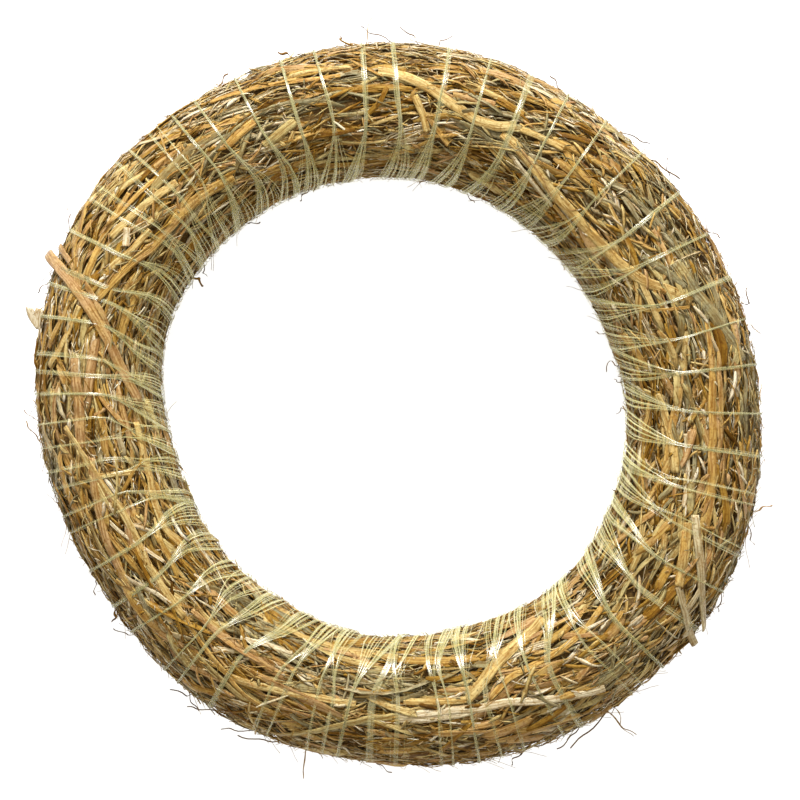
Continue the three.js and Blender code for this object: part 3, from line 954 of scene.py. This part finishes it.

# %% [markdown]
# A few twigs and one bit of chaff stand out much further, and the eye goes to them at once, so they
# are set one by one. Each has the angle and share of its root, how far it runs round the ring, how far
# its tip stands off the crowns, its width and its tone.

# %% Twigs set one by one
PLACED_TWIGS = [
    (95.2, 0.24, -3, 11.0, 0.5, 0.2), (90.5, 0.24, 14, 6.5, 0.6, 0.02),
    (86.0, 0.25, 9, 6.0, 0.7, 0.05), (84.5, 0.24, -7, 5.0, 0.6, 0.1),
    (97.5, 0.24, 5, 4.0, 1.2, 0.14), (106.5, 0.23, 6, 3.5, 1.4, 0.1),
    (52.0, 0.22, -16, 4.5, 0.6, 0.02), (46.0, 0.23, -18, 3.5, 0.8, 0.06),
    (39.0, 0.24, 9, 5.5, 0.5, 0.05), (15.0, 0.22, 7, 5.0, 0.7, 0.04),
    (13.5, 0.23, -6, 4.0, 0.6, 0.08), (343.0, 0.24, 5, 7.0, 1.2, 0.4),
    (341.0, 0.22, -8, 4.0, 0.6, 0.05), (304.0, 0.22, 4, 16.0, 0.8, 0.3),
    (305.2, 0.22, -1, 15.0, 0.7, 0.25), (306.0, 0.22, -26, 5.5, 0.8, 0.08),
    (300.0, 0.23, -14, 4.0, 0.7, 0.06), (255.0, 0.22, 2, 12.0, 1.3, 0.42),
    (252.0, 0.22, -20, 4.5, 0.7, 0.04), (247.0, 0.23, -15, 5.0, 0.6, 0.04),
    (240.0, 0.22, -13, 5.5, 0.7, 0.06), (236.0, 0.23, -11, 4.0, 0.7, 0.03),
    (233.0, 0.23, 10, 4.5, 0.6, 0.05), (216.0, 0.23, 4, 3.5, 1.5, 0.1),
    (186.5, 0.23, -10, 5.5, 0.7, 0.12), (183.0, 0.23, -5, 5.0, 0.6, 0.2),
    (18.0, 0.78, 3, 5.0, 0.6, 0.04), (11.0, 0.78, -2, 6.0, 0.6, 0.05),
    (5.0, 0.78, 2, 5.0, 0.5, 0.05), (359.0, 0.78, -2, 4.5, 0.5, 0.03),
    (148.0, 0.78, 1, 4.5, 1.8, 0.14), (144.0, 0.8, 5, 4.0, 0.6, 0.03),
    (131.0, 0.8, -6, 3.5, 0.7, 0.04), (112.0, 0.8, 7, 3.0, 0.7, 0.03),
    (74.0, 0.8, -8, 3.0, 0.6, 0.03), (152.5, 0.23, -9, 5.0, 0.5, 0.1),
    (160.0, 0.23, 8, 4.0, 0.6, 0.04), (30.0, 0.23, -7, 4.0, 0.6, 0.05),
    (62.0, 0.23, 8, 3.5, 0.7, 0.08), (120.0, 0.23, -7, 3.5, 0.9, 0.1),
    (210.0, 0.23, 6, 4.0, 0.6, 0.05), (222.0, 0.22, -9, 5.0, 0.6, 0.04),
    (266.0, 0.22, 8, 4.0, 0.6, 0.05), (290.0, 0.22, -8, 4.0, 0.7, 0.06),
    (330.0, 0.23, -9, 4.5, 0.6, 0.04),
]
TWIG_ROOT = -1.5
TWIG_THICKNESS = 0.8
TWIG_TAPER = 0.4
TWIG_RISE_POWER = 0.8
TWIG_KINK = 0.7
TWIG_DRIFT = 0.02
TWIG_ROLL = 0.5
KINKS_ALONG = 8
KNEES_ALONG = 11
KNEE_HEIGHT = 0.5
KNEE_SHIFT = 4
TWIG_SEED = 61
LEAF_LOBES = [(168.4, 1.0, -8.0, 5.6), (168.4, 0.8, -8.5, 1.4)]
LEAF_SHARE = 0.23
LEAF_WIDTH = 3.4
LEAF_LENGTH = 8.0
LEAF_THICKNESS = 0.3
LEAF_TIP = 0.25
LEAF_BELLY = 0.8
LEAF_TONE = 0.96
LEAF_SEEDS = [3, 7]


def run_along(root_angle, root_share, run, kink, drift):
    """A route that runs round the ring from a root, kinked as dry twigs are."""
    radius = radius_at(root_angle, root_share)

    def route(along):
        forward = run * along + kink * np.sin(KINKS_ALONG * along)
        return root_angle + np.degrees(forward / radius), root_share + drift * along

    return route


def placed_twigs():
    chance = np.random.default_rng(TWIG_SEED)
    root_angle, root_share, run, rise, width, tone = [column(values) for values in zip(*PLACED_TWIGS)]
    count = len(PLACED_TWIGS)
    kink = TWIG_KINK * chance.standard_normal((count, 1))
    drift = TWIG_DRIFT * chance.standard_normal((count, 1))

    def bend(along):
        knees = np.sin(KNEES_ALONG * along + KNEE_SHIFT * kink)
        return (rise - TWIG_ROOT) * along ** TWIG_RISE_POWER + KNEE_HEIGHT * knees

    form = {
        "width": width, "thick": TWIG_THICKNESS * width, "lift": TWIG_ROOT, "bend": bend,
        "length": np.hypot(run, rise), "taper": lambda along: 1 - TWIG_TAPER * along, "held": 0.0,
        "tone": tone, "seed": drawn(chance, 0, SEED_MOST, count), "roll": TWIG_ROLL * kink,
    }
    route = run_along(root_angle, root_share, run, kink, drift)
    piece = lay("placed_twigs", blank(sides=5, steps=10), count, route, form)
    return finish_piece(piece, "straw_ring", straw)


def loose_leaf():
    """A torn scrap of leaf with two lobes, caught on a hair just outside the ring."""
    angle, low, run, high = [column(values) for values in zip(*LEAF_LOBES)]
    form = {
        "width": LEAF_WIDTH, "thick": LEAF_THICKNESS, "lift": low,
        "bend": lambda along: (high - low) * along, "length": LEAF_LENGTH,
        "taper": lambda along: LEAF_TIP + np.sin(LEAF_BELLY * np.pi * along), "held": 0.0,
        "tone": LEAF_TONE, "seed": column(LEAF_SEEDS), "roll": np.pi / 2,
    }
    route = run_along(angle, LEAF_SHARE, run, 0.0, 0.0)
    scrap = blank(sides=8, steps=8, ribbed=True)
    piece = lay("loose_leaf", scrap, len(LEAF_LOBES), route, form)
    return finish_piece(piece, "straw_ring", straw)


placed_twigs()
loose_leaf()

# %% [markdown]
# The binding is polypropylene film, slit into a flat twine and drawn out, so it splits lengthwise like
# straw. It is pale, thin and see-through: it takes the colour of the straw below, and flashes white
# where the light strikes it. The lines from the drawing are under 0.3 mm apart. On the real twine they
# part here and there, and the film's milkiness changes from line to line.

# %% Polypropylene film
FILM_LINE_LENGTH = 20
FILM_LINE_SPACING = 0.286
FILM_LINE_HEIGHT = 0.2
MILKINESS = span(0.38, 0.64, 0.04, 0.18)
FOLD_OPACITY = 0.22


def film_material():
    """Drawn polypropylene film: thin, smooth and slightly milky, with lines along it."""
    material, tree = new_material("polypropylene film")
    fold, grain = [add_node(tree, "ShaderNodeAttribute", {"attribute_name": attribute})
                   for attribute in ("tone", "grain")]
    lines = add_node(tree, "ShaderNodeVectorMath", {"operation": "MULTIPLY"},
                     {1: (1 / FILM_LINE_LENGTH, 1 / FILM_LINE_SPACING, 1)}, {0: grain.outputs["Vector"]})
    noise = add_node(tree, "ShaderNodeTexNoise", {}, {"Scale": 1, "Detail": 3},
                     {"Vector": lines.outputs[0]})
    colour = add_node(tree, "ShaderNodeValToRGB", links={"Fac": noise.outputs["Fac"]})
    set_ramp(colour, [(0.35, "#c0b86c"), (0.52, "#dcd692"), (0.7, "#f0ecc6")])
    milk = add_node(tree, "ShaderNodeMapRange", {}, MILKINESS, {0: noise.outputs["Fac"]})
    alpha = add_node(tree, "ShaderNodeMath", {"operation": "MULTIPLY_ADD"}, {1: FOLD_OPACITY},
                     {0: fold.outputs["Fac"], 2: milk.outputs[0]})
    bump = add_node(tree, "ShaderNodeBump", {}, {"Strength": 0.25, "Distance": FILM_LINE_HEIGHT * MM},
                    {"Height": noise.outputs["Fac"]})
    shader = add_node(tree, "ShaderNodeBsdfPrincipled", {},
                      {"Roughness": 0.19, "IOR": 1.75, "Specular IOR Level": 0.85},
                      {"Base Color": colour.outputs["Color"], "Normal": bump.outputs[0],
                       "Alpha": alpha.outputs[0]})
    add_node(tree, "ShaderNodeOutputMaterial", links={"Surface": shader.outputs[0]})
    return material


film = film_material()
print(film.name, len(film.node_tree.nodes), "nodes")

# %% [markdown]
# Pulled tight, the twine folds into one or two narrow bands over the crown, and down the inner wall it
# spreads like a fan. So each turn is two broad sheets and a dozen thin fibres, which run close together
# and part. Flat strands all lie in the surface, and would flash in one place only. The fibres are
# therefore tilted along their length, toward the lamp, as twisted ones are, so every crossing has its
# flash. Sharp long edges keep each strand flat across. Film is see-through, and a ray goes on through
# only a few layers of it, so the fibres are kept too thin on the crown to lie many deep.

# %% Film twine
FILM_STRANDS = 14
SHEETS = 2
FILM_STEPS = 28
FILM_THICKNESS = 0.08
FILM_LIFT = 0.35
STRAND_LIFT = 0.03
FILM_SEED = 31
CROWN_RADIUS = 123
BAND_SPREAD = (0.5, 1.8)
BROAD_TURN = 269.5
BROAD_SPREAD = 3.6
STRAY = 0.55
FAN_REACH = (0.8, 1.5)
FAN_SPREAD = (-5.0, 5.4)
BACK_GAP = 0.18
SLANT = 1.1
WANDER = 0.3
WANDERS_ALONG = 14
SHEET_SHARE = (0.4, 1.0)
SHEET_FAN = (0.6, 1.8)
FIBRE_WIDTHS = (0.08, 0.22)
FIBRE_FAN = (0.2, 0.7)
FIBRE_TILT = 0.54
LOOSE_TILT = 0.13
FILM_TWIST = 0.2
ON_CROWN = (0.0, 0.2, 0.5, 0.66)
ON_INNER_WALL = (0.52, 0.74, 0.84, 1.0)
OFF_THE_STRAW = (0.5, 0.7, 0.9, 1.0)
NEAR_BACK = (0.0, 0.08)
FOLDED_FROM = (0.56, 0.74)
SHEET_FOLD = 0.42
FIBRE_FOLD = 0.75
FAN_RISE = 0.5
BACK_SINK = 0.3
RIPPLE = 0.05
RIPPLES_ALONG = 24


def within(share, start, full, last, end):
    """0 up to start, 1 from full to last, and 0 again from end on."""
    return smooth_step(share, start, full) * (1 - smooth_step(share, last, end))


def film_share(along):
    """A strand's share, from the middle of the back over the outer wall to the middle of the back."""
    return along * (1 + BACK_SHARE) - BACK_SHARE / 2


def film_twine():
    """Every strand of every turn."""
    chance = np.random.default_rng(FILM_SEED)
    count = TURNS * FILM_STRANDS
    turn = column(np.repeat(np.arange(TURNS), FILM_STRANDS))
    strand = column(np.tile(np.arange(FILM_STRANDS), TURNS))
    is_sheet = strand < SHEETS

    def for_strands(values):
        return np.repeat(values, FILM_STRANDS, axis=0)

    off_place = []
    for bands in map(bands_of_turn, range(TURNS)):
        off_place.extend(bands[i % len(bands)] for i in range(FILM_STRANDS))
    band_offset = np.radians(column(off_place)) * CROWN_RADIUS
    band_spread = for_strands(chance.uniform(*BAND_SPREAD, (TURNS, 1)))
    is_broad = np.abs(winding_angle(turn) - BROAD_TURN) < 180 / TURNS
    band_spread = np.where(is_broad, BROAD_SPREAD, band_spread)
    crown_offset = band_offset + band_spread * chance.uniform(-STRAY, STRAY, (count, 1))
    fan_reach = for_strands(chance.uniform(*FAN_REACH, (TURNS, 1)))
    fan_offset = fan_reach * chance.uniform(*FAN_SPREAD, (count, 1))
    back_offset = (strand - (FILM_STRANDS - 1) / 2) * BACK_GAP
    slant = for_strands(chance.normal(0, SLANT, (TURNS, 1)))
    wander = chance.normal(0, WANDER, (count, 1))
    phase = drawn(chance, 0, FULL_TURN, count)

    def route(along):
        share = film_share(along)
        crown = within(share, *ON_CROWN)
        fan = within(share, *ON_INNER_WALL)
        rest = 1 - np.clip(crown + fan, 0, 1)
        offset = crown * crown_offset + fan * fan_offset + rest * back_offset
        offset = offset + slant * np.sin(2 * np.pi * np.clip(share, 0, 1))
        offset = offset + crown * wander * np.sin(WANDERS_ALONG * share + phase)
        middle = winding_angle(turn + smooth_step(share, ADVANCE_FROM, ADVANCE_TO))
        return middle + np.degrees(offset / radius_at(middle, share)), share

    sheet_width = band_spread * chance.uniform(*SHEET_SHARE, (count, 1))
    crown_width = np.where(is_sheet, sheet_width, chance.uniform(*FIBRE_WIDTHS, (count, 1)))
    sheet_fan = chance.uniform(*SHEET_FAN, (count, 1))
    fan_width = np.where(is_sheet, sheet_fan, chance.uniform(*FIBRE_FAN, (count, 1)))
    toward_lamp = FIBRE_TILT * np.cos(np.radians(winding_angle(turn)))
    tilt = np.where(is_sheet, 0, toward_lamp) + LOOSE_TILT * chance.standard_normal((count, 1))

    def spread(along):
        return crown_width + (fan_width - crown_width) * within(film_share(along), *ON_INNER_WALL)

    def folded(along):
        return smooth_step(film_share(along), *FOLDED_FROM) * np.where(is_sheet, SHEET_FOLD, FIBRE_FOLD)

    def height(along):
        share = film_share(along)
        back = 1 - smooth_step(np.minimum(share, 1 - share), *NEAR_BACK)
        ripple = RIPPLE * np.sin(RIPPLES_ALONG * along + strand)
        return FAN_RISE * within(share, *OFF_THE_STRAW) - BACK_SINK * back + ripple

    form = {
        "width": 1.0, "taper": spread, "thick": FILM_THICKNESS, "length": (1 + BACK_SHARE) * ARC,
        "lift": FILM_LIFT + STRAND_LIFT * strand, "bend": height, "held": 0.0,
        "roll": tilt, "twist": FILM_TWIST * chance.standard_normal((count, 1)),
        "tone": folded, "seed": drawn(chance, 0, SEED_MOST, count),
    }
    piece = lay("film_twine", blank(sides=4, steps=FILM_STEPS, flat_top=True), count, route, form)
    return finish_piece(piece, "binding_twine", film)


film_twine()

# %% [markdown]
# The ring lies on its back and the camera looks straight down on it, as in the photograph. A long lens
# from about a metre keeps the round outline true, and the camera is moved by a millimetre, because the
# ring isn't quite in the middle of the picture. The width of the view is given at the bundle's middle.

# %% Camera
VIEW_WIDTH = 0.331
LENS = 100
SENSOR = 36
BUNDLE_MIDDLE = 0.026
CAMERA_SHIFT_X = 0.0007
CAMERA_SHIFT_Y = 0.0014

camera_data = bpy.data.cameras.new("camera")
camera_data.lens = LENS
camera_data.sensor_width = SENSOR
camera = bpy.data.objects.new("camera", camera_data)
camera.location = (CAMERA_SHIFT_X, CAMERA_SHIFT_Y, BUNDLE_MIDDLE + VIEW_WIDTH * LENS / SENSOR)
bpy.context.scene.collection.objects.link(camera)
bpy.context.scene.camera = camera
print("camera height", round(camera.location.z, 3), "m")

# %% [markdown]
# The stage is a white board that glows a little, as a lit backdrop does, so it stays white to its
# edges. The main light is a wide soft panel beyond the picture's top edge. Its slant light makes the
# shade between the stems and the white flashes on the film. A low panel behind it lights the outer
# wall on that side, a faint one hangs overhead, and the warm walls of the room fill the rest.

# %% Floor and light
FLOOR_REACH = 3
FLOOR_COLOUR = "#b2b5ba"
FLOOR_GLOW = 0.84
PANELS = [
    ("key_panel", (-0.1, 1.45, 0.9), 0.6, 51),
    ("side_panel", (0.0, 1.5, 0.3), 1.2, 9),
    ("top_panel", (0.0, 0.0, 1.8), 1.4, 3.5),
]
ROOM_COLOUR = (1, 0.93, 0.79, 1)
ROOM_STRENGTH = 0.72


def floor():
    shape = bmesh.new()
    bmesh.ops.create_grid(shape, x_segments=1, y_segments=1, size=FLOOR_REACH)
    mesh = bpy.data.meshes.new("floor")
    shape.to_mesh(mesh)
    shape.free()
    material, tree = new_material("white painted board")
    shader = add_node(tree, "ShaderNodeBsdfPrincipled", {},
                      {"Base Color": linear(FLOOR_COLOUR), "Roughness": 0.9,
                       "Emission Color": (1, 1, 1, 1), "Emission Strength": FLOOR_GLOW})
    add_node(tree, "ShaderNodeOutputMaterial", links={"Surface": shader.outputs[0]})
    mesh.materials.append(material)
    board = bpy.data.objects.new("floor", mesh)
    bpy.context.scene.collection.objects.link(board)


def panel(name, place_at, size, power):
    """A soft square panel, by its size in metres and its power in watts, that faces the ring."""
    light = bpy.data.lights.new(name, "AREA")
    light.shape = "RECTANGLE"
    light.size = size
    light.size_y = size
    light.energy = power
    lamp = bpy.data.objects.new(name, light)
    lamp.location = place_at
    toward_ring = Vector((0, 0, BUNDLE_MIDDLE)) - Vector(place_at)
    lamp.rotation_euler = toward_ring.to_track_quat("-Z", "Y").to_euler()
    bpy.context.scene.collection.objects.link(lamp)


floor()
for panel_values in PANELS:
    panel(*panel_values)
room = bpy.data.worlds.new("room")
room.use_nodes = True
room_light = room.node_tree.nodes["Background"]
room_light.inputs["Color"].default_value = ROOM_COLOUR
room_light.inputs["Strength"].default_value = ROOM_STRENGTH
bpy.context.scene.world = room
bpy.context.scene.view_settings.view_transform = "Standard"
print("panels", len(PANELS), "with", sum(values[-1] for values in PANELS), "watts")
